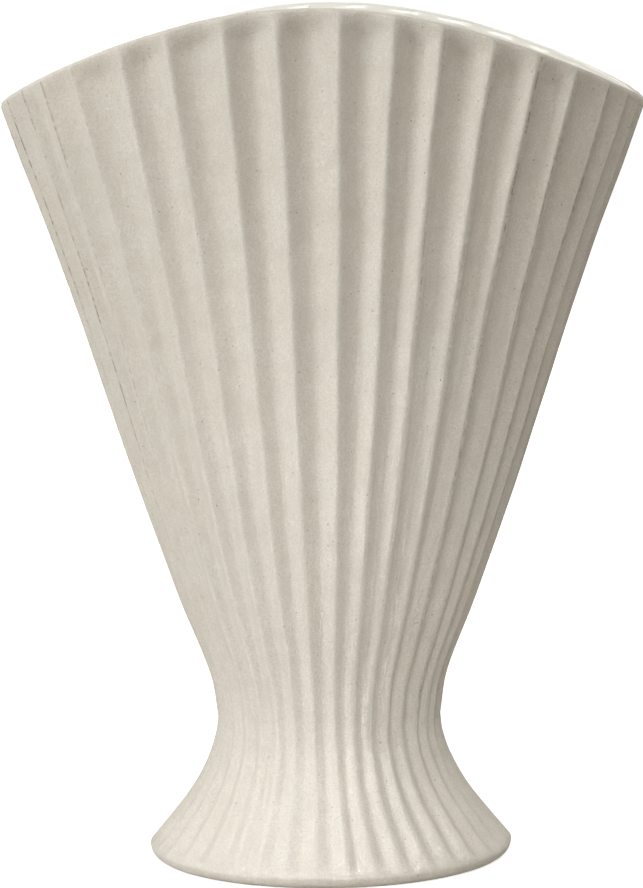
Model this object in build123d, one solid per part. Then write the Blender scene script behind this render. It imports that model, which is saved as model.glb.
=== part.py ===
from build123d import *
from math import cos, hypot, pi, radians, sin, sqrt
import os

# Fan vase: a fluted stoneware vessel with a flared round foot, a narrow waist and a wide flat fan.
# Millimetres. +Z up, +X along the wide side, -Y the front. The origin is the middle of the underside.

# Overall sizes
fan_width = 230.0
belly_depth = 107.0
mouth_depth = 100.0
vase_height = 306.0
rim_end_height = 273.0
waist_diameter = 80.6
waist_height = 51.0
foot_diameter = 131.0

# Wall, lip and floor
wall_thickness = 6.0
lip_rise = 1.6
foot_edge_round = 4.5
floor_height = 9.5
floor_corner_round = 9.0

# Shallow hollow under the foot, which leaves a ring to stand on
foot_ring_width = 9.0
foot_recess_depth = 2.5
foot_recess_round = 1.6

# Flutes. A depth share is the depth of a groove for each millimetre between two crests.
# A crest power over 1 makes narrow crests and wide grooves, and under 1 the other way round.
flute_count = 38
foot_groove_share = 0.13
waist_groove_share = 0.15
rim_groove_share = 0.20
foot_crest_power = 0.8
waist_crest_power = 1.0
rim_crest_power = 1.7
inner_groove_share = 0.45
lip_run_out = 3.0
foot_run_out = 6.0
flute_start_degrees = -0.6
flute_twist_degrees = 3.5

# Glaze inside the vase
glaze_thickness = 0.6

# Outline above the waist: share of the height up to the rim's ends, share of the spread
fan_width_shares = ((0.0, 0.0), (0.07, 0.035), (0.2, 0.182), (0.4, 0.39), (0.7, 0.68), (1.0, 1.0))
fan_depth_shares = ((0.0, 0.0), (0.08, 0.16), (0.2, 0.6), (0.36, 0.94), (0.55, 1.0))

# Outline of the foot: share of the height from its edge up to the waist, share of the spread
foot_spread_shares = ((0.0, 1.0), (0.2, 0.7), (0.42, 0.39), (0.64, 0.165), (0.86, 0.03), (1.0, 0.0))

# The wall is drawn through level rings, set closer together where it bends
foot_steps = 13
fan_steps = 18
fan_step_power = 1.5
run_out_steps = 6
round_steps = 6
points_per_flute = 6
arcs_per_ring = 4

# Bend of the rim's arch: 1 is a gentle hyperbola, and a larger share comes nearer to a round arc
arch_softness_share = 0.6

waist_radius = waist_diameter / 2
foot_radius = foot_diameter / 2
lip_end_height = rim_end_height - lip_rise
flute_angle = 2 * pi / flute_count
point_count = flute_count * points_per_flute


def placed(shares, low, high, from_radius, to_radius):
    # Turns the shares of an outline into heights and radii
    return [(low + h * (high - low), from_radius + s * (to_radius - from_radius)) for h, s in shares]


foot_outline = placed(foot_spread_shares, foot_edge_round, waist_height, waist_radius, foot_radius)
width_outline = placed(fan_width_shares, waist_height, lip_end_height, waist_radius, fan_width / 2)
depth_outline = placed(fan_depth_shares, waist_height, lip_end_height, waist_radius, belly_depth / 2)
depth_outline.append((vase_height, mouth_depth / 2))
groove_shares = (
    (foot_edge_round, foot_groove_share), (waist_height, waist_groove_share), (rim_end_height, rim_groove_share)
)
crest_powers = (
    (foot_edge_round, foot_crest_power), (waist_height, waist_crest_power), (rim_end_height, rim_crest_power)
)


def followed(outline, height):
    # Value of a smooth curve through an outline's points, which runs on straight past both ends
    last = len(outline) - 1
    slopes = []
    for index in range(last + 1):
        before = outline[max(index - 1, 0)]
        after = outline[min(index + 1, last)]
        slopes.append((after[1] - before[1]) / (after[0] - before[0]))
    if height <= outline[0][0]:
        return outline[0][1] + slopes[0] * (height - outline[0][0])
    if height >= outline[last][0]:
        return outline[last][1] + slopes[last] * (height - outline[last][0])
    index = max(i for i in range(last) if outline[i][0] <= height)
    start, end = outline[index], outline[index + 1]
    span = end[0] - start[0]
    share = (height - start[0]) / span
    ease = share * share * (3 - 2 * share)
    swing_in = share * (1 - share) ** 2 * span * slopes[index]
    swing_out = share * share * (share - 1) * span * slopes[index + 1]
    return start[1] * (1 - ease) + end[1] * ease + swing_in + swing_out


def half_width(height):
    return followed(foot_outline if height < waist_height else width_outline, height)


def half_depth(height):
    return followed(foot_outline if height < waist_height else depth_outline, height)


def faded(distance, run):
    # 0 at no distance and 1 past the run, smooth between them
    share = min(max(distance / run, 0), 1)
    return share * share * (3 - 2 * share)


def rim_height(turn):
    # The rim is highest in the middle of the front and the back, and lowest at the two ends
    soft = arch_softness_share
    drop = (hypot(sin(turn), soft) - soft) / (hypot(1, soft) - soft)
    return vase_height - (vase_height - rim_end_height) * drop


def level_height(turn, level):
    # Levels are flat up to the waist. Above it they bend up, little by little, to meet the rim
    if level <= 0:
        return waist_height + level * (waist_height - foot_edge_round)
    return waist_height + level * (rim_height(turn) - lip_rise - waist_height)


def level_turn(index, level):
    # Place round the vase of a numbered point. The flutes lean round a little on their way up
    twist = radians(flute_start_degrees + flute_twist_degrees * (1 - level) / 2)
    return (index / points_per_flute - 0.5) * flute_angle + twist


def wall_slant(turn, height):
    # Length of wall for each millimetre of height, which turns its thickness into a level one
    step = foot_edge_round / 2
    above = hypot(half_width(height + step) * sin(turn), half_depth(height + step) * cos(turn))
    below = hypot(half_width(height) * sin(turn), half_depth(height) * cos(turn))
    return hypot(1, (above - below) / step)


def groove_depth(index, turn, height):
    # Grooves are shallower where they crowd together, and run out at the lip and the foot's edge
    pitch = flute_angle * hypot(half_width(height) * cos(turn), half_depth(height) * sin(turn))
    deepest = followed(groove_shares, height) * pitch
    deepest *= faded(rim_height(turn) - lip_rise - height, lip_run_out)
    deepest *= faded(height - foot_edge_round, foot_run_out)
    crest = 0.5 + 0.5 * cos(2 * pi * index / points_per_flute)
    return deepest * (1 - crest ** followed(crest_powers, height))


def wall_point(index, turn, height, inset, groove_share, drawn_in):
    # Point of the wall at a place and height: set in square to the oval, or the oval drawn in
    width = half_width(height) - drawn_in
    depth = half_depth(height) - drawn_in
    square_x = depth * sin(turn)
    square_y = -width * cos(turn)
    size = hypot(square_x, square_y)
    sunk = inset * wall_slant(turn, height) + groove_share * groove_depth(index, turn, height)
    return Vector(
        width * sin(turn) - square_x / size * sunk, -depth * cos(turn) - square_y / size * sunk, height
    )


def ring(points):
    # Smooth arcs that make one closed line, through points that are numbered alike on every ring
    arcs = []
    for number in range(arcs_per_ring):
        start = number * point_count // arcs_per_ring
        end = (number + 1) * point_count // arcs_per_ring
        count = end - start
        along = [points[index % point_count] for index in range(start, end + 1)]
        places = [index / count for index in range(count + 1)]
        leaving = (points[start + 1] - points[start - 1]) * count / 2
        arriving = (points[(end + 1) % point_count] - points[end - 1]) * count / 2
        arcs.append(Edge.make_spline(along, tangents=[leaving, arriving], parameters=places, scale=False))
    return arcs


def level_ring(level, inset, groove_share):
    points = []
    for index in range(point_count):
        turn = level_turn(index, level)
        points.append(wall_point(index, turn, level_height(turn, level), inset, groove_share, 0))
    return ring(points)


def flat_ring(height, inset, groove_share, drawn_in):
    level = (height - waist_height) / (waist_height - foot_edge_round)
    points = []
    for index in range(point_count):
        points.append(wall_point(index, level_turn(index, level), height, inset, groove_share, drawn_in))
    return ring(points)


def quarter_turns():
    return [step / round_steps * pi / 2 for step in range(round_steps + 1)]


def foot_edge_rings():
    # Rounded edge of the foot, from the underside out to the start of the flare
    rings = []
    for angle in quarter_turns():
        height = foot_edge_round * (1 - cos(angle))
        drawn_in = foot_edge_round * (1 - sin(angle)) + half_width(height) - foot_radius
        rings.append(flat_ring(height, 0, 0, drawn_in))
    return rings


def floor_corner_rings(inset):
    # Rounded corner inside, from the floor up into the wall
    rings = []
    for angle in quarter_turns():
        drawn_in = floor_corner_round * (1 - sin(angle))
        height = floor_height + inset - wall_thickness + floor_corner_round * (1 - cos(angle))
        rings.append(flat_ring(height, inset, inner_groove_share, drawn_in))
    return rings


def wall_rings(inset, groove_share, lowest):
    # Outer or inner wall, from above a lowest height up to the lip
    run_out_level = 1 - lip_run_out / (lip_end_height - waist_height)
    levels = [step / foot_steps - 1 for step in range(foot_steps)]
    levels += [run_out_level * (step / fan_steps) ** fan_step_power for step in range(fan_steps)]
    levels += [1 - (1 - run_out_level) * (1 - step / run_out_steps) for step in range(run_out_steps + 1)]
    levels = [level for level in levels if level_height(0, level) > lowest]
    return [level_ring(level, inset, groove_share) for level in levels]


def lip_rings():
    # The lip rolls from the outer wall over the crest to the inner wall
    rings = []
    for angle in [quarter * 2 for quarter in quarter_turns()][1:-1]:
        points = []
        for index in range(point_count):
            turn = level_turn(index, 1)
            base = rim_height(turn) - lip_rise
            outer = wall_point(index, turn, base, 0, 0, 0)
            inner = wall_point(index, turn, base, wall_thickness, 0, 0)
            middle = (outer + inner) / 2
            points.append(middle + (outer - middle) * cos(angle) + Vector(0, 0, lip_rise * sin(angle)))
        rings.append(ring(points))
    return rings


def inside_rings(inset):
    # Inside of the vase, from the floor up to the lip
    corner = floor_corner_rings(inset)
    return corner + wall_rings(inset, inner_groove_share, floor_height + floor_corner_round + foot_edge_round)


def skin(rings):
    # Straight strips from each ring to the next, arc by arc
    faces = []
    for arcs in zip(*rings):
        faces += Shell.make_loft([Wire([arc]) for arc in arcs], ruled=True).faces()
    return faces


def flat_end(arcs):
    return Face(Wire(arcs))


def closed_solid(faces):
    # A shell that is sewn inside out has a negative volume, so its faces are turned over
    solid = Solid(Shell(faces))
    if solid.volume < 0:
        solid = Solid(Shell([-face for face in faces]))
    return solid


def make_stoneware_body():
    outside = foot_edge_rings() + wall_rings(0, 1, foot_edge_round)
    inside = inside_rings(wall_thickness)
    over = outside + lip_rings() + inside[::-1]
    body = closed_solid(skin(over) + [flat_end(over[0]), flat_end(over[-1])])
    recess = Cylinder(foot_radius - foot_edge_round - foot_ring_width, 2 * foot_recess_depth)
    recess = fillet(recess.edges().sort_by(Axis.Z)[-1], foot_recess_round)
    return body - recess


def make_glaze_lining():
    outer = inside_rings(wall_thickness)
    inner = inside_rings(wall_thickness + glaze_thickness)
    around = outer + inner[::-1]
    return closed_solid(skin(around) + [flat_end(around[0]), flat_end(around[-1])])


def main():
    os.makedirs("parts", exist_ok=True)
    pieces = {"stoneware_body": make_stoneware_body(), "glaze_lining": make_glaze_lining()}
    for name, piece in pieces.items():
        export_step(piece, f"parts/{name}.step")
        print(name, "valid", piece.is_valid, "cubic centimetres", round(piece.volume / 1000, 1))


main()
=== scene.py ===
import bpy
from math import atan2, cos, exp, floor, hypot, pi, radians, sin
from mathutils import Matrix, Vector, noise


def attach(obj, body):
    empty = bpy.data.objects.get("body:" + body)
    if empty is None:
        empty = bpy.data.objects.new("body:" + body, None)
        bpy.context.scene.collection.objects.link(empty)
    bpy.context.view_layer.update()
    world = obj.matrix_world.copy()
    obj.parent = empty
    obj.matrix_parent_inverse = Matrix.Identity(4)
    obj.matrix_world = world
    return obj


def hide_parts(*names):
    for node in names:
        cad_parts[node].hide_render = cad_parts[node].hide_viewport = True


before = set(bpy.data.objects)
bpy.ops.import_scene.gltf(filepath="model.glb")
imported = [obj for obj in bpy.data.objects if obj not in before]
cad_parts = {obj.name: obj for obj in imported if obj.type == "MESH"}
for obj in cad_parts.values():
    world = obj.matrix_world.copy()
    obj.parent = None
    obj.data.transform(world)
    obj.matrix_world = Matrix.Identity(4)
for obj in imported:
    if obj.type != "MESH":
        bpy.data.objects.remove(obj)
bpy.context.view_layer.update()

# Metres. The wide side lies along X, the front is -Y, and the foot stands on z = 0

vaseForm = {
    "fanWidth": 0.230,
    "bellyDepth": 0.107,
    "mouthDepth": 0.100,
    "height": 0.306,
    "rimEndHeight": 0.2738,
    "archSoftness": 0.6,
    "waistDiameter": 0.0806,
    "waistHeight": 0.051,
    "footDiameter": 0.131,
    "wall": 0.006,
    "lipRise": 0.0018,
    "lipRiseAtEnds": 0.0036,
    "lipEndsPower": 12,      # a higher power keeps the fuller lip nearer to the ends
    "lipPower": 2.1,         # 2 is a round lip, more is squarer
    "lipUneven": 0.12,       # share of the lip's rise
    "lipUnevenGrain": 60,
    "footEdge": 0.0045,
    "floorHeight": 0.0095,
    "floorCorner": 0.009,
    "overCorner": 0.002,     # the wall's rings begin this much above the corner
    "footRing": 0.009,
    "recessDepth": 0.0025,
    "recessRound": 0.0016,
    "ringChamfer": 0.0004,
    "middleRings": (0.008, 0.03),    # radii of the mesh's rings in the middle of the floor and underside
    # steps of the mesh round each bend, and how much closer together the rings are above the waist
    "recessSteps": 4,
    "footEdgeSteps": 7,
    "floorCornerSteps": 5,
    "fanStepPower": 1.15,
    # share of the height from the waist to the rim's ends, share of the spread
    "widthShares": ((0, 0), (0.07, 0.035), (0.2, 0.182), (0.4, 0.39), (0.7, 0.68), (1, 1)),
    "depthShares": ((0, 0), (0.08, 0.16), (0.2, 0.6), (0.36, 0.94), (0.55, 1)),
    # share of the height from the foot's edge to the waist, share of the spread
    "footShares": ((0, 1), (0.2, 0.7), (0.42, 0.39), (0.64, 0.165), (0.86, 0.03), (1, 0)),
}

fluteForm = {
    "count": 38,
    "startDegrees": -0.6,
    "twistDegrees": 3.5,
    # foot, waist, rim: groove depth for each metre between two crests
    "depthShares": (0.215, 0.185, 0.205),
    # foot, waist, rim: 1 is a hollow scallop between sharp crests, 0 a round ridge between sharp grooves
    "hollowShares": (0.1, 0.4, 1.0),
    # foot, waist, rim: how far the sharp edges are rounded off
    "roundShares": (0.30, 0.32, 0.22),
    # changes between the middle of the wide sides and the two ends of the fan, which begin over the waist
    "crisperAtEnds": 0.45,
    "deeperInMiddle": 0.15,
    "deeperAtEnds": 0.2,
    "changeRun": 0.08,
    "innerShare": 0.6,
    "lipRunOut": 0.007,
    "lipShare": 0.36,        # share of the depth that is left where the lip begins to round over
    "footRunOut": 0.004,
    "crestCrowding": 0.1,    # moves the mesh's lines nearer to the crests
    # flute: how far its crest is off its even place at the foot, on the way up and at the rim
    "shiftLevel": 0.35,
    "handShifts": {
        -5: (0.10, -0.15, -0.15), -4: (0.15, -0.08, -0.15), -3: (0.25, -0.10, 0.05),
        -2: (0.15, -0.07, 0.05), -1: (0.05, -0.03, 0.08), 0: (0.12, 0.02, 0.02),
        1: (0.20, 0.12, 0.06), 2: (0.06, 0.11, -0.02), 3: (0.05, 0.02, -0.18),
        4: (0.02, 0.02, -0.17), 5: (0, -0.05, -0.18), 6: (0, 0.08, -0.15),
        7: (0, 0.03, 0.03), 8: (0, 0, -0.05), 9: (0, 0, -0.10),
    },
    # unevenness, and how fine it is: round the drum and up it
    "wander": 0.16,          # the same shifts for the flutes at the back, at random
    "wanderGrain": (3.4, 1.6),
    "wobble": 0.035,         # small wavering of each crest on its way up
    "wobbleGrain": (6.0, 10.0),
    "depthChange": 0.25,     # share of the depth
    "depthGrain": (3.1, 2.2),
    "combMarks": 0.00010,    # long shallow marks of the comb
    "combGrain": (22.0, 5.0),
    "marksUnderLip": 0.004,  # the marks fade out over this much below the lip
    "marksOverFoot": 0.01,
    "handWave": 0.00025,     # soft unevenness of the wall
    "handWaveGrain": 38,
    # second fine ridge just past a crest, on some flutes. Its place and widths are shares of a flute
    "doubled": {2: 0.4, 3: 0.7, 4: 1.0, 5: 1.0, 6: 0.8, 7: 0.9, 8: 0.7, 9: 0.4, -9: 0.6, -14: 0.8, 15: 0.7},
    "doubledPlace": 0.115,
    "doubledWander": 0.02,
    "doubledReach": 0.3,     # nothing of it is left past this
    "doubledWidth": 0.028,
    "doubledHeight": 0.00075,
    "doubledFrom": -0.3,     # level at which it begins
    "doubledBreaks": (0.7, 1.3),     # usual strength and its change, here and below
    "shadeLineBefore": 0.045,    # the painted shade line lies this much before the second ridge, in the small hollow next to the crest
    "shadeLineWidth": 0.014,
    # painted shade: a fine dark line along the crest itself, on some flutes, for the groove bottom behind
    # it that lies in shade
    "shadedCrests": {-9: 1, -8: 1.2, -7: 1.2, -6: 1.1, -5: 0.7, -4: 0.3, 6: 0.7, 7: 0.8, 8: 0.8, 9: 0.8},
    "crestShadePlace": 0.02,
    "crestShadeWidth": 0.03,
    "crestShadeFrom": 0.1,
    "crestShadeBreaks": (0.75, 1.2),
}


def spread(shares, low, high, fromRadius, toRadius):
    return [(low + h * (high - low), fromRadius + s * (toRadius - fromRadius)) for h, s in shares]


def follow(outline, height):
    # smooth curve through an outline's points, straight on past both ends
    last = len(outline) - 1
    slopes = []
    for index in range(last + 1):
        before, after = outline[max(index - 1, 0)], outline[min(index + 1, last)]
        slopes.append((after[1] - before[1]) / (after[0] - before[0]))
    if height <= outline[0][0]:
        return outline[0][1] + slopes[0] * (height - outline[0][0])
    if height >= outline[last][0]:
        return outline[last][1] + slopes[last] * (height - outline[last][0])
    index = max(i for i in range(last) if outline[i][0] <= height)
    start, end = outline[index], outline[index + 1]
    span = end[0] - start[0]
    share = (height - start[0]) / span
    ease = share * share * (3 - 2 * share)
    bend = share * (1 - share) * span * ((1 - share) * slopes[index] - share * slopes[index + 1])
    return start[1] * (1 - ease) + end[1] * ease + bend


waistRadius = vaseForm["waistDiameter"] / 2
footRadius = vaseForm["footDiameter"] / 2
lipEndHeight = vaseForm["rimEndHeight"] - vaseForm["lipRiseAtEnds"]
footOutline = spread(
    vaseForm["footShares"], vaseForm["footEdge"], vaseForm["waistHeight"], waistRadius, footRadius)
widthOutline = spread(
    vaseForm["widthShares"], vaseForm["waistHeight"], lipEndHeight, waistRadius, vaseForm["fanWidth"] / 2)
depthOutline = spread(
    vaseForm["depthShares"], vaseForm["waistHeight"], lipEndHeight, waistRadius, vaseForm["bellyDepth"] / 2)
depthOutline.append((vaseForm["height"], vaseForm["mouthDepth"] / 2))
fluteAngle = 2 * pi / fluteForm["count"]
halfCount = fluteForm["count"] // 2
drumRadius = 0.1
lipPower = vaseForm["lipPower"]


def sampled(outline, low, high, count=600):
    # the outline looked up once at even heights, which is much quicker than following it each time
    values = [follow(outline, low + (high - low) * step / count) for step in range(count + 1)]

    def lookUp(height):
        place = min(max((height - low) / (high - low), 0), 1) * count
        index = min(int(place), count - 1)
        return values[index] + (values[index + 1] - values[index]) * (place - index)

    return lookUp


overRim = 0.01
wideFoot = sampled(footOutline, 0, vaseForm["waistHeight"])
wideFan = sampled(widthOutline, vaseForm["waistHeight"], vaseForm["height"] + overRim)
deepFan = sampled(depthOutline, vaseForm["waistHeight"], vaseForm["height"] + overRim)


def halfWidth(height):
    return wideFoot(height) if height < vaseForm["waistHeight"] else wideFan(height)


def halfDepth(height):
    return wideFoot(height) if height < vaseForm["waistHeight"] else deepFan(height)


def eased(distance, run):
    share = min(max(distance / run, 0), 1)
    return share * share * (3 - 2 * share)


def roundedOff(value, amount):
    # from 0 to 1 with a rounded start
    return (hypot(value, amount) - amount) / (hypot(1, amount) - amount)


def fromFootToRim(values, height):
    # a value for the foot's edge, the waist and the rim, and straight between them
    if height < vaseForm["waistHeight"]:
        share = max(height - vaseForm["footEdge"], 0) / (vaseForm["waistHeight"] - vaseForm["footEdge"])
        return values[0] + (values[1] - values[0]) * share
    fanHeight = vaseForm["rimEndHeight"] - vaseForm["waistHeight"]
    share = min((height - vaseForm["waistHeight"]) / fanHeight, 1.1)
    return values[1] + (values[2] - values[1]) * share


def rimHeight(turn):
    drop = roundedOff(abs(sin(turn)), vaseForm["archSoftness"])
    return vaseForm["height"] - (vaseForm["height"] - vaseForm["rimEndHeight"]) * drop


def lipRise(turn):
    # the lip is a little fuller where the front and the back meet
    more = vaseForm["lipRiseAtEnds"] - vaseForm["lipRise"]
    return vaseForm["lipRise"] + more * abs(sin(turn)) ** vaseForm["lipEndsPower"]


def lipBase(turn):
    return rimHeight(turn) - lipRise(turn)


def levelHeight(turn, level):
    # 0 is the waist, 1 the base of the lip, -1 the foot's edge
    if level <= 0:
        return vaseForm["waistHeight"] + level * (vaseForm["waistHeight"] - vaseForm["footEdge"])
    return vaseForm["waistHeight"] + level * (lipBase(turn) - vaseForm["waistHeight"])


def onDrum(flute, level, size, tall):
    # a place on a drum that has one turn for the whole row of flutes, so that unevenness has no seam
    angle = flute * fluteAngle
    return Vector((size * cos(angle), size * sin(angle), level * tall))


def shiftOf(number, level):
    # how far one crest is off its even place, as a share of the space between crests
    number = (number + halfCount) % fluteForm["count"] - halfCount
    if number in fluteForm["handShifts"]:
        foot, middle, rim = fluteForm["handShifts"][number]
        between = fluteForm["shiftLevel"]
        if level < between:
            return foot + (middle - foot) * eased(level + 1, 1 + between)
        return middle + (rim - middle) * eased(level - between, 1 - between)
    return fluteForm["wander"] * noise.noise(onDrum(number, level, *fluteForm["wanderGrain"]))


def fluteTurn(flute, level):
    lean = radians(fluteForm["startDegrees"] + fluteForm["twistDegrees"] * (1 - level) / 2)
    number = floor(flute)
    share = eased(flute - number, 1)
    shift = shiftOf(number, level) * (1 - share) + shiftOf(number + 1, level) * share
    shift += fluteForm["wobble"] * noise.noise(onDrum(flute, level + 3, *fluteForm["wobbleGrain"]))
    return (flute - 0.5 + shift) * fluteAngle + lean


def shareOfBreaks(breaks, pattern):
    # how strong a line that comes and goes is here: its usual strength, and how much it changes
    return min(max(breaks[0] + breaks[1] * noise.noise(Vector(pattern)), 0), 1)


def bump(away, width):
    return exp(-(away / width) ** 2)


def doubledRidge(flute, level):
    # height of the fine second ridge, and the strength of the painted shade lines: the thin one between it
    # and the crest, and the one along some crests
    form = fluteForm
    number, past = floor(flute), flute % 1
    called = (number + halfCount) % form["count"] - halfCount
    crestShade = form["shadedCrests"].get(called, 0) * bump(past - form["crestShadePlace"], form["crestShadeWidth"])
    unbroken = shareOfBreaks(form["crestShadeBreaks"], (number * 2.3, level * 7, 4))
    crestShade *= unbroken * eased(level - form["crestShadeFrom"], 0.5)
    strength = form["doubled"].get(called, 0)
    if strength == 0 or level < form["doubledFrom"] or past > form["doubledReach"]:
        return 0, crestShade
    place = form["doubledPlace"] + form["doubledWander"] * noise.noise(Vector((number * 3.1, level * 9, 1)))
    unbroken = shareOfBreaks(form["doubledBreaks"], (number * 5.7, level * 4, 8))
    strength *= unbroken * eased(level - form["doubledFrom"], 0.4)
    paintedShadeLine = strength * bump(past - place + form["shadeLineBefore"], form["shadeLineWidth"])
    return strength * bump(past - place, form["doubledWidth"]), max(paintedShadeLine, crestShade)


def wallSlant(turn, height):
    step = vaseForm["footEdge"] / 2
    above = hypot(halfWidth(height + step) * sin(turn), halfDepth(height + step) * cos(turn))
    below = hypot(halfWidth(height) * sin(turn), halfDepth(height) * cos(turn))
    return hypot(1, (above - below) / step)


def crestShare(flute, turn, height):
    # 1 on a crest and 0 in the middle of a groove
    nearCrest = abs(2 * (flute % 1) - 1)
    rounding = fromFootToRim(fluteForm["roundShares"], height)
    overWaist = eased(height - vaseForm["waistHeight"], fluteForm["changeRun"])
    rounding *= 1 - fluteForm["crisperAtEnds"] * sin(turn) ** 2 * overWaist
    hollow = (1 - roundedOff(1 - nearCrest, rounding)) ** 2
    ridge = 1 - (1 - roundedOff(nearCrest, rounding)) ** 2
    share = fromFootToRim(fluteForm["hollowShares"], height)
    return share * hollow + (1 - share) * ridge


def grooveDepth(flute, turn, height, level):
    pitch = fluteAngle * hypot(halfWidth(height) * cos(turn), halfDepth(height) * sin(turn))
    deepest = fromFootToRim(fluteForm["depthShares"], height) * pitch
    onGrain = onDrum(flute + 0.5, level + 7, *fluteForm["depthGrain"])
    deepest *= 1 + fluteForm["depthChange"] * noise.noise(onGrain)
    middle, ends = fluteForm["deeperInMiddle"], fluteForm["deeperAtEnds"]
    across = middle - (middle - ends) * sin(turn) ** 4
    deepest *= 1 + across * eased(height - vaseForm["waistHeight"], fluteForm["changeRun"])
    belowLip = eased(lipBase(turn) - height, fluteForm["lipRunOut"])
    deepest *= fluteForm["lipShare"] + (1 - fluteForm["lipShare"]) * belowLip
    deepest *= eased(height - vaseForm["footEdge"], fluteForm["footRunOut"])
    return deepest * (1 - crestShare(flute, turn, height))


def wallPlace(flute, turn, height, inset, grooves, drawnIn, level):
    # a point of the wall: set in square to the oval, or the oval drawn in
    width = halfWidth(height) - drawnIn
    depth = halfDepth(height) - drawnIn
    squareX, squareY = depth * sin(turn), -width * cos(turn)
    size = hypot(squareX, squareY)
    sunk = inset * wallSlant(turn, height)
    overFoot = eased(height - vaseForm["footEdge"], fluteForm["marksOverFoot"])
    if grooves:
        sunk += grooves * grooveDepth(flute, turn, height, level)
        runOut = eased(lipBase(turn) - height, fluteForm["marksUnderLip"]) * overFoot
        sunk += fluteForm["combMarks"] * noise.noise(onDrum(flute, level, *fluteForm["combGrain"])) * runOut
        sunk -= fluteForm["doubledHeight"] * doubledRidge(flute, level)[0] * runOut
    place = Vector((width * sin(turn), -depth * cos(turn), height))
    sunk += fluteForm["handWave"] * noise.noise(place * fluteForm["handWaveGrain"]) * overFoot
    return place - Vector((squareX / size * sunk, squareY / size * sunk, 0))


def steps(count, first=0, last=None):
    last = count if last is None else last
    return [step / count for step in range(first, last + 1)]


# A ring of a wall is one of four kinds:
#   flat    a plain circle: radius, height
#   even    a level circle drawn in: height, inset, grooves, drawnIn
#   wall    a ring that bends up towards the rim: level, inset, grooves
#   lip     a ring on the rolled lip: angle from outside to inside, lift over the clay

def potSize(ring):
    # radius and height of a ring while the pot is still plain and round
    kind = ring[0]
    if kind == "flat":
        return ring[1], ring[2]
    if kind == "even":
        return halfWidth(ring[1]) - ring[2] - ring[4], ring[1]
    if kind == "wall":
        height = levelHeight(pi / 2, ring[1])
        return halfWidth(height) - ring[2], height
    outside = halfWidth(lipEndHeight)
    middle = outside - vaseForm["wall"] / 2
    return (middle + (vaseForm["wall"] / 2 + ring[2]) * cos(ring[1]),
            lipEndHeight + (vaseForm["lipRiseAtEnds"] + ring[2]) * sin(ring[1]))


def pressedPlace(ring, flute):
    # where a point of the round pot goes when the pot is pressed into a fan and its flutes are cut,
    # and how near it is to a crest, and its level
    kind = ring[0]
    if kind == "flat":
        turn = fluteTurn(flute, -1)
        return Vector((ring[1] * sin(turn), -ring[1] * cos(turn), ring[2])), 1.0, -1.0
    if kind == "even":
        level = (ring[1] - vaseForm["waistHeight"]) / (vaseForm["waistHeight"] - vaseForm["footEdge"])
        turn = fluteTurn(flute, level)
        place = wallPlace(flute, turn, ring[1], ring[2], ring[3], ring[4], level)
        return place, crestShare(flute, turn, ring[1]), level
    if kind == "wall":
        turn = fluteTurn(flute, ring[1])
        height = levelHeight(turn, ring[1])
        place = wallPlace(flute, turn, height, ring[2], ring[3], 0, ring[1])
        return place, crestShare(flute, turn, height), ring[1]
    turn = fluteTurn(flute, 1)
    base = lipBase(turn)
    outer = wallPlace(flute, turn, base, 0, 0, 0, 1)
    inner = wallPlace(flute, turn, base, vaseForm["wall"], 0, 0, 1)
    middle = (outer + inner) / 2
    reach = (outer - inner).length / 2
    side = (outer - middle) / reach
    uneven = 1 + vaseForm["lipUneven"] * noise.noise(middle * vaseForm["lipUnevenGrain"])
    across, up = cos(ring[1]), sin(ring[1])
    squarer = 1 / (abs(across) ** lipPower + abs(up) ** lipPower) ** (1 / lipPower)
    lift = Vector((0, 0, (lipRise(turn) + ring[2]) * uneven * up * squarer))
    scallop = grooveDepth(flute, turn, base, 1) * across * across
    if across < 0:
        scallop *= fluteForm["innerShare"]
    return middle + side * ((reach + ring[2]) * across * squarer - scallop) + lift, 1.0, 1.0


def throwPot(name, rings, around):
    # a round pot pulled up ring by ring from a circle
    bpy.ops.object.select_all(action="DESELECT")
    radius, height = potSize(rings[0])
    bpy.ops.mesh.primitive_circle_add(
        vertices=around, radius=radius, fill_type="NOTHING", location=(0, 0, height))
    pot = bpy.context.object
    pot.name = name
    bpy.ops.object.transform_apply(location=True, rotation=True, scale=True)
    bpy.ops.object.mode_set(mode="EDIT")
    bpy.ops.mesh.select_mode(type="EDGE")
    bpy.ops.mesh.select_all(action="SELECT")
    for ring in rings[1:]:
        newRadius, newHeight = potSize(ring)
        bpy.ops.mesh.extrude_edges_move(TRANSFORM_OT_translate={"value": (0, 0, newHeight - height)})
        size = newRadius / radius
        bpy.ops.transform.resize(value=(size, size, 1), center_override=(0, 0, newHeight))
        radius, height = newRadius, newHeight
    bpy.ops.object.mode_set(mode="OBJECT")
    return pot


def pressAndFlute(pot, rings, perFlute):
    # every vertex goes to its place on the fan; the rings keep the order in which they were pulled up
    around = perFlute * fluteForm["count"]
    mesh = pot.data
    for name, kind in (("crest", "FLOAT"), ("paintedShadeLine", "FLOAT"), ("thin", "FLOAT"), ("drum", "FLOAT_VECTOR")):
        mesh.attributes.new(name, kind, "POINT")
    crest, paintedShadeLine, thin, drum = (mesh.attributes[name] for name in ("crest", "paintedShadeLine", "thin", "drum"))
    form = glazeForm
    for index, ring in enumerate(rings):
        for vertex in mesh.vertices[index * around:(index + 1) * around]:
            number = round(atan2(vertex.co.x, -vertex.co.y) / (2 * pi) * around) % around
            flute = number / perFlute
            flute -= fluteForm["crestCrowding"] * sin(2 * pi * flute)
            place, share, level = pressedPlace(ring, flute)
            vertex.co = place
            crest.data[vertex.index].value = share
            if ring[0] == "lip":
                thin.data[vertex.index].value = 1 - eased(ring[1] - form["thinTo"], form["thinRun"])
            # painted shade: the strength of the thin dark lines by some crests, kept for the clay's colour
            if ring[0] == "wall" and ring[2] == 0:
                paintedShadeLine.data[vertex.index].value = doubledRidge(flute, level)[1]
            angle = flute * fluteAngle
            drum.data[vertex.index].vector = (drumRadius * cos(angle), drumRadius * sin(angle), place.z)
    mesh.update()


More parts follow.
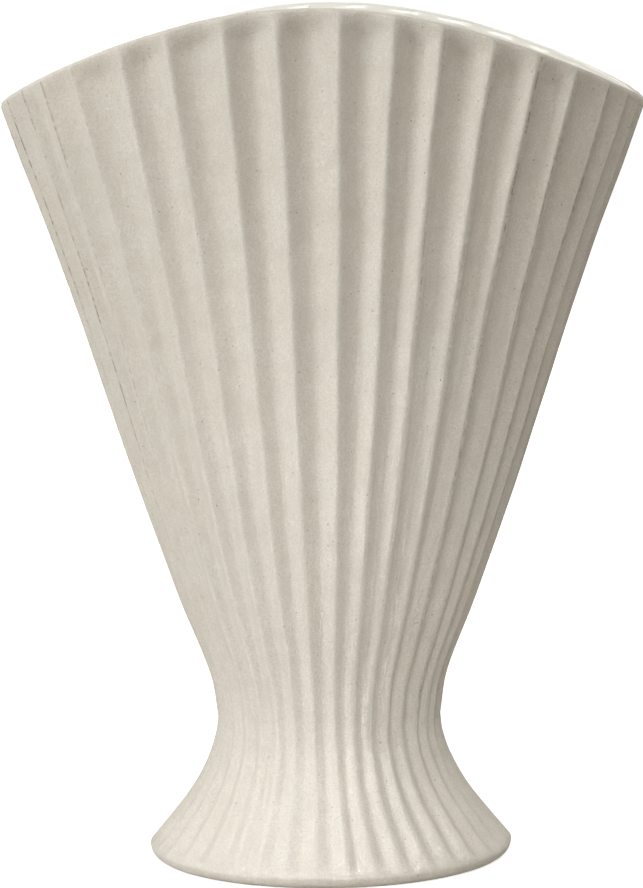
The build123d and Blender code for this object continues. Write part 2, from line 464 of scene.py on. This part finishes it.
def closeEnds(pot):
    # the two open ends are filled, and all faces turned outwards
    bpy.ops.object.select_all(action="DESELECT")
    pot.select_set(True)
    bpy.context.view_layer.objects.active = pot
    bpy.ops.object.mode_set(mode="EDIT")
    bpy.ops.mesh.select_mode(type="EDGE")
    bpy.ops.mesh.select_all(action="DESELECT")
    bpy.ops.mesh.select_non_manifold(extend=False)
    bpy.ops.mesh.edge_face_add()
    bpy.ops.mesh.select_all(action="SELECT")
    bpy.ops.mesh.normals_make_consistent(inside=False)
    bpy.ops.object.mode_set(mode="OBJECT")
    bpy.ops.object.shade_smooth()


def quarterRound(count):
    return [step * pi / 2 for step in steps(count)]


def footUnderside():
    # from the middle of the hollow under the foot out to its flat ring and round the edge
    ring = footRadius - vaseForm["footEdge"] - vaseForm["footRing"]
    depth, bend = vaseForm["recessDepth"], vaseForm["recessRound"]
    rings = [("flat", radius, depth) for radius in vaseForm["middleRings"]]
    for angle in quarterRound(vaseForm["recessSteps"]):
        rings.append(("flat", ring - bend + bend * sin(angle), depth - bend + bend * cos(angle)))
    rings.append(("flat", ring, vaseForm["ringChamfer"]))
    rings.append(("flat", ring + vaseForm["ringChamfer"], 0))
    for angle in quarterRound(vaseForm["footEdgeSteps"]):
        height = vaseForm["footEdge"] * (1 - cos(angle))
        drawnIn = vaseForm["footEdge"] * (1 - sin(angle)) + halfWidth(height) - footRadius
        rings.append(("even", height, 0, 0, drawnIn))
    return rings


def wallRings(inset, grooves, counts, lowest):
    footCount, fanCount, runCount = counts
    runOut = 1 - fluteForm["lipRunOut"] / (lipEndHeight - vaseForm["waistHeight"])
    levels = [share - 1 for share in steps(footCount, 1, footCount - 1)]
    levels += [runOut * share ** vaseForm["fanStepPower"] for share in steps(fanCount, 0, fanCount - 1)]
    levels += [1 - (1 - runOut) * (1 - share) for share in steps(runCount)]
    return [("wall", level, inset, grooves) for level in levels if levelHeight(0, level) > lowest]


def insideRings(inset, grooves, counts):
    # from the middle of the floor out, round the corner and up the wall to the lip
    level, corner = vaseForm["floorHeight"] + inset - vaseForm["wall"], vaseForm["floorCorner"]
    rings = [("flat", radius, level) for radius in vaseForm["middleRings"]]
    for angle in quarterRound(vaseForm["floorCornerSteps"]):
        rings.append(("even", level + corner * (1 - cos(angle)), inset, grooves, corner * (1 - sin(angle))))
    return rings + wallRings(inset, grooves, counts, level + corner + vaseForm["overCorner"])


def lipRings(lift, first, last, count):
    return [("lip", first + (last - first) * share, lift) for share in steps(count, 1, count - 1)]


# Rings of the mesh are counted for the foot, the fan and the run-out under the lip
bodyForm = {
    "perFlute": 18,
    "outside": (24, 48, 7),
    "inside": (8, 18, 2),
    "lipRings": 10,
    "underGlaze": 0.0005,
}


def makeStonewareBody():
    form = bodyForm
    rings = footUnderside()
    rings += wallRings(0, 1, form["outside"], vaseForm["footEdge"])
    rings += lipRings(0, 0, pi, form["lipRings"])
    # the clay under the glaze lies a little deeper, so that it never shows through
    inset = vaseForm["wall"] - form["underGlaze"]
    rings += insideRings(inset, fluteForm["innerShare"], form["inside"])[::-1]
    around = form["perFlute"] * fluteForm["count"]
    body = throwPot("stonewareBody", rings, around)
    pressAndFlute(body, rings, form["perFlute"])
    closeEnds(body)
    return body


# The glaze goes up over the inside of the lip and ends just short of its crest. Angles are radians round
# the lip from the outside in. Up to thinTo the glaze is thin, and over thinRun it comes to its full gloss
glazeForm = {
    "perFlute": 14,
    "face": (14, 34, 5),
    "back": (8, 14, 1),
    "thickness": 0.0006,
    "sunk": 0.0002,
    "backSunk": 0.0007,
    "lipLift": 0.0002,
    "lipStart": pi - 0.15,
    "lipEnd": 1.72,
    "lipRings": 7,
    "edgeRound": 0.04,
    "underLip": (pi * 0.75, -0.0006),
    "thinTo": 1.9,
    "thinRun": 0.7,
}


def makeGlaze():
    # a thin closed skin: its glossy face, rolled onto the lip, and a hidden back just inside the clay
    form, wall, grooves = glazeForm, vaseForm["wall"], fluteForm["innerShare"]
    front = insideRings(wall + form["thickness"], grooves, form["face"])
    first, last = form["lipStart"], form["lipEnd"]
    onLip = [("lip", first - (first - last) * share, form["lipLift"]) for share in steps(form["lipRings"])]
    underLip = [("lip", last - form["edgeRound"], -form["sunk"]), ("lip", *form["underLip"])]
    back = insideRings(wall - form["backSunk"], grooves, form["back"])[:-1][::-1]
    rings = front + onLip + underLip + back
    around = form["perFlute"] * fluteForm["count"]
    glaze = throwPot("glazeLining", rings, around)
    pressAndFlute(glaze, rings, form["perFlute"])
    closeEnds(glaze)
    return glaze


stonewareBody = makeStonewareBody()
print("stoneware body made,", len(stonewareBody.data.polygons), "faces")
glazeLining = makeGlaze()
print("glaze made,", len(glazeLining.data.polygons), "faces")


# Materials

def newNode(tree, kind, place, **inputs):
    node = tree.nodes.new(kind)
    node.location = place
    for name, value in inputs.items():
        node.inputs[name].default_value = value
    return node


clayPattern = {
    # how many to a metre, detail, roughness
    "mottle": (42.0, 3.0, 0.55),
    "tone": (17.0, 2.0, 0.5),
    "grain": (1500.0, 3.0, 0.6),
    "lumps": (150.0, 2.0, 0.5),
    "speckCells": 430.0,
    "bareShare": 0.45,       # share of the cells that stay without a speck
}


def noiseNode(tree, place, pattern):
    scale, detail, roughness = pattern
    return newNode(tree, "ShaderNodeTexNoise", place, Scale=scale, Detail=detail, Roughness=roughness)


def makeClayGroup():
    # fine clay: soft mottling, grain and small dark specks, all from Object coordinates
    group = bpy.data.node_groups.new("fineClay", "ShaderNodeTree")
    for name, kind in (("Place", "NodeSocketVector"), ("Speck Size", "NodeSocketFloat")):
        group.interface.new_socket(name=name, in_out="INPUT", socket_type=kind)
    for name in ("Mottle", "Tone", "Grain", "Specks", "Lumps"):
        group.interface.new_socket(name=name, in_out="OUTPUT", socket_type="NodeSocketFloat")
    start = group.nodes.new("NodeGroupInput")
    start.location = (-900, 0)
    end = group.nodes.new("NodeGroupOutput")
    end.location = (700, 0)
    mottle = noiseNode(group, (-600, 300), clayPattern["mottle"])
    tone = noiseNode(group, (-600, 60), clayPattern["tone"])
    grain = noiseNode(group, (-600, -180), clayPattern["grain"])
    lumps = noiseNode(group, (-600, 540), clayPattern["lumps"])
    cells = newNode(group, "ShaderNodeTexVoronoi", (-600, -440), Scale=clayPattern["speckCells"])
    small = newNode(group, "ShaderNodeMapRange", (-120, -440))
    small.inputs["To Min"].default_value = 1.0
    small.inputs["To Max"].default_value = 0.0
    few = newNode(group, "ShaderNodeMapRange", (-120, -700))
    few.inputs["From Min"].default_value = clayPattern["bareShare"]
    few.inputs["From Max"].default_value = 1.0
    split = newNode(group, "ShaderNodeSeparateColor", (-360, -700))
    both = newNode(group, "ShaderNodeMath", (200, -520))
    both.operation = "MULTIPLY"
    for node in (mottle, tone, grain, cells, lumps):
        group.links.new(start.outputs["Place"], node.inputs["Vector"])
    group.links.new(cells.outputs["Distance"], small.inputs["Value"])
    group.links.new(start.outputs["Speck Size"], small.inputs["From Max"])
    group.links.new(cells.outputs["Color"], split.inputs["Color"])
    group.links.new(split.outputs["Red"], few.inputs["Value"])
    group.links.new(small.outputs["Result"], both.inputs[0])
    group.links.new(few.outputs["Result"], both.inputs[1])
    group.links.new(mottle.outputs["Fac"], end.inputs["Mottle"])
    group.links.new(tone.outputs["Fac"], end.inputs["Tone"])
    group.links.new(grain.outputs["Fac"], end.inputs["Grain"])
    group.links.new(both.outputs["Value"], end.inputs["Specks"])
    group.links.new(lumps.outputs["Fac"], end.inputs["Lumps"])
    return group


def mixColours(tree, place, low, high, factor):
    # one colour over another; each may be a value or another node's output
    node = tree.nodes.new("ShaderNodeMix")
    node.data_type = "RGBA"
    node.location = place
    ins = [s for s in node.inputs if s.type == "RGBA"]
    for socket, value in zip(ins, (low, high)):
        if isinstance(value, tuple):
            socket.default_value = value
        else:
            tree.links.new(value, socket)
    tree.links.new(factor, node.inputs[0])
    return [s for s in node.outputs if s.type == "RGBA"][0]


def scaled(tree, place, value, low, high, fromLow=0.0, fromHigh=1.0):
    node = tree.nodes.new("ShaderNodeMapRange")
    node.location = place
    node.inputs["From Min"].default_value = fromLow
    node.inputs["From Max"].default_value = fromHigh
    node.inputs["To Min"].default_value = low
    node.inputs["To Max"].default_value = high
    tree.links.new(value, node.inputs["Value"])
    return node.outputs["Result"]


def attributeNode(tree, place, name):
    node = newNode(tree, "ShaderNodeAttribute", place)
    node.attribute_name = name
    return node


def clayNode(tree, clayGroup, speckSize):
    # the clay's patterns, laid on by Object coordinates
    place = newNode(tree, "ShaderNodeTexCoord", (-1500, 0))
    clay = newNode(tree, "ShaderNodeGroup", (-1250, 0))
    clay.node_tree = clayGroup
    clay.inputs["Speck Size"].default_value = speckSize
    tree.links.new(place.outputs["Object"], clay.inputs["Place"])
    return place, clay


def added(tree, place, first, second, kind="ADD"):
    node = tree.nodes.new("ShaderNodeMath")
    node.operation = kind
    node.location = place
    for socket, value in zip(node.inputs, (first, second)):
        if isinstance(value, (int, float)):
            socket.default_value = value
        else:
            tree.links.new(value, socket)
    return node.outputs["Value"]


bisqueLook = {
    "clay": (0.735, 0.697, 0.640, 1),
    "warm": (0.70, 0.640, 0.565, 1),
    "grey": (0.68, 0.652, 0.598, 1),
    # darker clay for the grain, and painted shade in the low places of the lumps and streaks
    "grainAndPaintedShade": (0.56, 0.515, 0.45, 1),
    # painted highlight: a paler colour laid on the crests
    "crestHighlight": (0.79, 0.76, 0.70, 1),
    # dark specks of the clay; the same colour also paints the shade lines by the crests
    "speck": (0.20, 0.17, 0.12, 1),
    "speckSize": 0.15,
    # laid over the clay in turn: pattern, colour, shares that show at the two ends of a range, that range
    "layers": (
        ("Mottle", "warm", (0.0, 0.75), (0.35, 0.7)),
        ("Tone", "grey", (0.0, 0.7), (0.4, 0.68)),
        ("Grain", "grainAndPaintedShade", (0.0, 1.0), (0.3, 0.72)),
        # painted shade: darker in the low places of the lumps and of the streaks
        ("Lumps", "grainAndPaintedShade", (0.35, 0.0), (0.3, 0.6)),
        ("streaks", "grainAndPaintedShade", (0.18, 0.0), (0.32, 0.62)),
        # painted highlight: paler on the crests
        ("crest", "crestHighlight", (0.0, 0.12), (0.86, 1.0)),
        ("Specks", "speck", (0.0, 0.85), (0.0, 1.0)),
    ),
    "streaks": (520.0, 2.0, 0.5),
    "streakPull": 0.07,      # the streaks are drawn out along the height
    "breaks": (480.0, 1.0, 0.5),
    "breakRange": (0.42, 0.6),
    "shadeLineStrengths": (0.25, 0.85),     # least and most strength of the painted shade lines, where they break off and come back
    "roughness": 0.82,
    "sheen": 0.28,
    # millimetres of height for each step of the pattern
    "heights": (("streaks", 0.12), ("Grain", 0.24), ("Lumps", 0.75), ("Specks", -0.35)),
}


def makeBisque(clayGroup):
    look = bisqueLook
    material = bpy.data.materials.new("bareStoneware")
    material.use_nodes = True
    tree = material.node_tree
    shader = tree.nodes["Principled BSDF"]
    shader.inputs["Roughness"].default_value = look["roughness"]
    shader.inputs["Specular IOR Level"].default_value = look["sheen"]
    place, clay = clayNode(tree, clayGroup, look["speckSize"])
    drum = attributeNode(tree, (-1500, -400), "drum")
    pull = newNode(tree, "ShaderNodeMapping", (-1300, -400))
    pull.inputs["Scale"].default_value = (1, 1, look["streakPull"])
    tree.links.new(drum.outputs["Vector"], pull.inputs["Vector"])
    streaks = noiseNode(tree, (-1100, -400), look["streaks"])
    tree.links.new(pull.outputs["Vector"], streaks.inputs["Vector"])
    crest = attributeNode(tree, (-1500, 400), "crest")
    patterns = {output.name: output for output in clay.outputs}
    patterns.update(streaks=streaks.outputs["Fac"], crest=crest.outputs["Fac"])

    colour = look["clay"]
    # the layers include painted shade in the low places of the lumps and streaks, and a painted highlight
    # on the crests
    for step, (name, over, shares, run) in enumerate(look["layers"]):
        factor = scaled(tree, (-1000, 850 - 150 * step), patterns[name], *shares, *run)
        colour = mixColours(tree, (-800 + 90 * step, 650 - 60 * step), colour, look[over], factor)
    # painted shade: thin dark lines by some crests, broken up by noise, in the speck colour
    paintedShadeLine = attributeNode(tree, (-1500, -700), "paintedShadeLine")
    breaks = noiseNode(tree, (-1250, -650), look["breaks"])
    tree.links.new(place.outputs["Object"], breaks.inputs["Vector"])
    broken = scaled(tree, (-900, -650), breaks.outputs["Fac"], *look["shadeLineStrengths"], *look["breakRange"])
    shadeLineMask = added(tree, (-650, -80), paintedShadeLine.outputs["Fac"], broken, "MULTIPLY")
    colour = mixColours(tree, (-150, 250), colour, look["speck"], shadeLineMask)
    tree.links.new(colour, shader.inputs["Base Color"])

    height = None
    for step, (name, millimetres) in enumerate(look["heights"]):
        part = added(tree, (-700, -400 - 160 * step), patterns[name], millimetres, "MULTIPLY")
        height = part if height is None else added(tree, (-500 + 120 * step, -450), height, part)
    bump = newNode(tree, "ShaderNodeBump", (-100, -300), Strength=1.0, Distance=0.001)
    tree.links.new(height, bump.inputs["Height"])
    tree.links.new(bump.outputs["Normal"], shader.inputs["Normal"])
    return material


glazeLook = {
    "cream": (0.79, 0.765, 0.695, 1),
    "pool": (0.71, 0.685, 0.61, 1),
    "poolShare": 0.6,
    "poolRange": (0.4, 0.7),
    "speck": (0.25, 0.18, 0.11, 1),
    "speckSize": 0.2,
    "speckShare": 0.6,
    "roughness": 0.08,
    "roughnessOnLip": 0.45,
    "coat": 0.4,
    "flow": (210.0, 2.0, 0.5),
    "flowStrength": 0.7,
    "flowHeight": 0.0006,
}


def makeGlazeMaterial(clayGroup):
    look = glazeLook
    material = bpy.data.materials.new("creamGlaze")
    material.use_nodes = True
    tree = material.node_tree
    shader = tree.nodes["Principled BSDF"]
    shader.inputs["Coat Weight"].default_value = look["coat"]
    thin = attributeNode(tree, (-900, -700), "thin")
    dulled = scaled(tree, (-650, -600), thin.outputs["Fac"], look["roughness"], look["roughnessOnLip"])
    tree.links.new(dulled, shader.inputs["Roughness"])
    tree.links.new(dulled, shader.inputs["Coat Roughness"])
    place, clay = clayNode(tree, clayGroup, look["speckSize"])
    pooled = scaled(tree, (-1000, 250), clay.outputs["Tone"], 0.0, look["poolShare"], *look["poolRange"])
    colour = mixColours(tree, (-800, 250), look["cream"], look["pool"], pooled)
    specks = scaled(tree, (-1000, -150), clay.outputs["Specks"], 0.0, look["speckShare"])
    colour = mixColours(tree, (-550, 150), colour, look["speck"], specks)
    tree.links.new(colour, shader.inputs["Base Color"])
    flow = noiseNode(tree, (-900, -400), look["flow"])
    tree.links.new(place.outputs["Object"], flow.inputs["Vector"])
    bump = newNode(
        tree, "ShaderNodeBump", (-400, -300), Strength=look["flowStrength"], Distance=look["flowHeight"])
    tree.links.new(flow.outputs["Fac"], bump.inputs["Height"])
    tree.links.new(bump.outputs["Normal"], shader.inputs["Normal"])
    return material


clayGroup = makeClayGroup()
stonewareBody.data.materials.append(makeBisque(clayGroup))
glazeLining.data.materials.append(makeGlazeMaterial(clayGroup))
print("materials made")

pieces = (
    (stonewareBody, "stoneware_body", "bare_stoneware"),
    (glazeLining, "glaze_lining", "cream_glaze"),
)
for piece, node, slot in pieces:
    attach(piece, "root")
    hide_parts(node)


# Floor, light and camera

stageLook = {
    "floorSize": 40.0,
    "floorColour": (0.6, 0.58, 0.54, 1),
    "floorRoughness": 0.9,
    "floorSheen": 0.1,
    # the floor's own glow, near the vase and far from it, and the distances between which it changes
    "glows": (0.80, 0.96),
    "glowRun": (0.3, 1.3),
    "fillLight": (1.0, 0.93, 0.81, 1),
    "fillStrength": 0.15,
}


def whiteForCamera(tree, place):
    # 1 where the camera, a reflection or a clear surface looks at it
    rays = newNode(tree, "ShaderNodeLightPath", place).outputs
    seen = added(tree, (place[0] + 180, place[1]), rays["Is Camera Ray"], rays["Is Glossy Ray"], "MAXIMUM")
    return added(tree, (place[0] + 340, place[1]), seen, rays["Is Transmission Ray"], "MAXIMUM")


def makeFloor():
    bpy.ops.object.select_all(action="DESELECT")
    bpy.ops.mesh.primitive_plane_add(size=stageLook["floorSize"], location=(0, 0, 0))
    floor = bpy.context.object
    floor.name = "paleFloor"
    bpy.ops.object.mode_set(mode="EDIT")
    bpy.ops.mesh.select_all(action="SELECT")
    bpy.ops.mesh.subdivide(number_cuts=3)
    bpy.ops.object.mode_set(mode="OBJECT")
    material = bpy.data.materials.new("paleFloor")
    material.use_nodes = True
    tree = material.node_tree
    shader = tree.nodes["Principled BSDF"]
    shader.inputs["Base Color"].default_value = stageLook["floorColour"]
    shader.inputs["Roughness"].default_value = stageLook["floorRoughness"]
    shader.inputs["Specular IOR Level"].default_value = stageLook["floorSheen"]
    shader.inputs["Emission Color"].default_value = (1, 1, 1, 1)
    seen = whiteForCamera(tree, (-900, -200))
    place = newNode(tree, "ShaderNodeTexCoord", (-1100, -450))
    distance = tree.nodes.new("ShaderNodeVectorMath")
    distance.operation = "LENGTH"
    distance.location = (-900, -450)
    tree.links.new(place.outputs["Object"], distance.inputs[0])
    far = distance.outputs["Value"]
    paler = scaled(tree, (-700, -450), far, *stageLook["glows"], *stageLook["glowRun"])
    glow = added(tree, (-300, -200), seen, paler, "MULTIPLY")
    tree.links.new(glow, shader.inputs["Emission Strength"])
    floor.data.materials.append(material)


def makeWorld():
    world = bpy.data.worlds.new("studio")
    bpy.context.scene.world = world
    world.use_nodes = True
    tree = world.node_tree
    tree.nodes.clear()
    seen = whiteForCamera(tree, (-700, 200))
    fill = newNode(tree, "ShaderNodeBackground", (-100, 0),
                   Color=stageLook["fillLight"], Strength=stageLook["fillStrength"])
    white = newNode(tree, "ShaderNodeBackground", (-100, -150), Color=(1, 1, 1, 1), Strength=1.0)
    mix = newNode(tree, "ShaderNodeMixShader", (100, 0))
    out = newNode(tree, "ShaderNodeOutputWorld", (300, 0))
    tree.links.new(seen, mix.inputs[0])
    tree.links.new(fill.outputs[0], mix.inputs[1])
    tree.links.new(white.outputs[0], mix.inputs[2])
    tree.links.new(mix.outputs[0], out.inputs["Surface"])


lamps = {
    # name: place, what it looks at, width, height, watts, colour, degrees over which it spreads
    "window": ((-1.50, -0.95, 0.85), (0, 0, 0.16), 0.7, 0.7, 21.5, (0.98, 1.01, 1.02), 180),
    "overhead": ((0.25, -0.75, 1.5), (0, 0, 0.1), 1.0, 1.0, 5.5, (1.0, 0.995, 0.97), 180),
    "ceiling": ((0.4, -0.75, 3.0), (0, 0, 0.1), 1.0, 1.0, 22, (1.0, 0.995, 0.97), 180),
    "whiteCard": ((0.05, -0.42, 0.02), (0, 0, 0.06), 0.5, 0.12, 0.35, (1.0, 1.0, 1.0), 180),
    "footLamp": ((0.05, -1.15, 0.75), (0.015, -0.02, 0.0), 0.2, 0.2, 0.05, (0.97, 1.01, 1.04), 14),
    "behind": ((0.9, 1.9, 1.3), (0, 0, 0.12), 1.2, 1.2, 16, (1.0, 0.99, 0.97), 180),
}


def makeLamps():
    for name, (place, target, width, height, watts, colour, beam) in lamps.items():
        bpy.ops.object.light_add(type="AREA", location=place)
        lamp = bpy.context.object
        lamp.name = name
        lamp.data.shape = "RECTANGLE"
        lamp.data.size, lamp.data.size_y = width, height
        lamp.data.energy = watts
        lamp.data.color = colour
        lamp.data.spread = radians(beam)
        lamp.rotation_mode = "QUATERNION"
        lamp.rotation_quaternion = (Vector(target) - Vector(place)).to_track_quat("-Z", "Y")
        lamp.visible_camera = False


cameraPlace = {
    "place": (0.1232, -1.5181, 0.3360),
    "target": (-0.00146, -0.00012, 0.14895),
    "rollDegrees": -0.786,
    "lens": 173.0,
}


def makeCamera():
    bpy.ops.object.camera_add(location=cameraPlace["place"])
    camera = bpy.context.object
    camera.name = "photoCamera"
    aim = (Vector(cameraPlace["target"]) - Vector(cameraPlace["place"])).to_track_quat("-Z", "Y")
    roll = Matrix.Rotation(radians(cameraPlace["rollDegrees"]), 4, "Z")
    camera.rotation_mode = "QUATERNION"
    camera.rotation_quaternion = (aim.to_matrix().to_4x4() @ roll).to_quaternion()
    camera.data.lens = cameraPlace["lens"]
    camera.data.sensor_width = 36
    camera.data.clip_start, camera.data.clip_end = 0.05, 100
    bpy.context.scene.camera = camera


makeFloor()
makeWorld()
makeLamps()
makeCamera()
bpy.context.scene.view_settings.view_transform = "Standard"
print("floor, light and camera set")
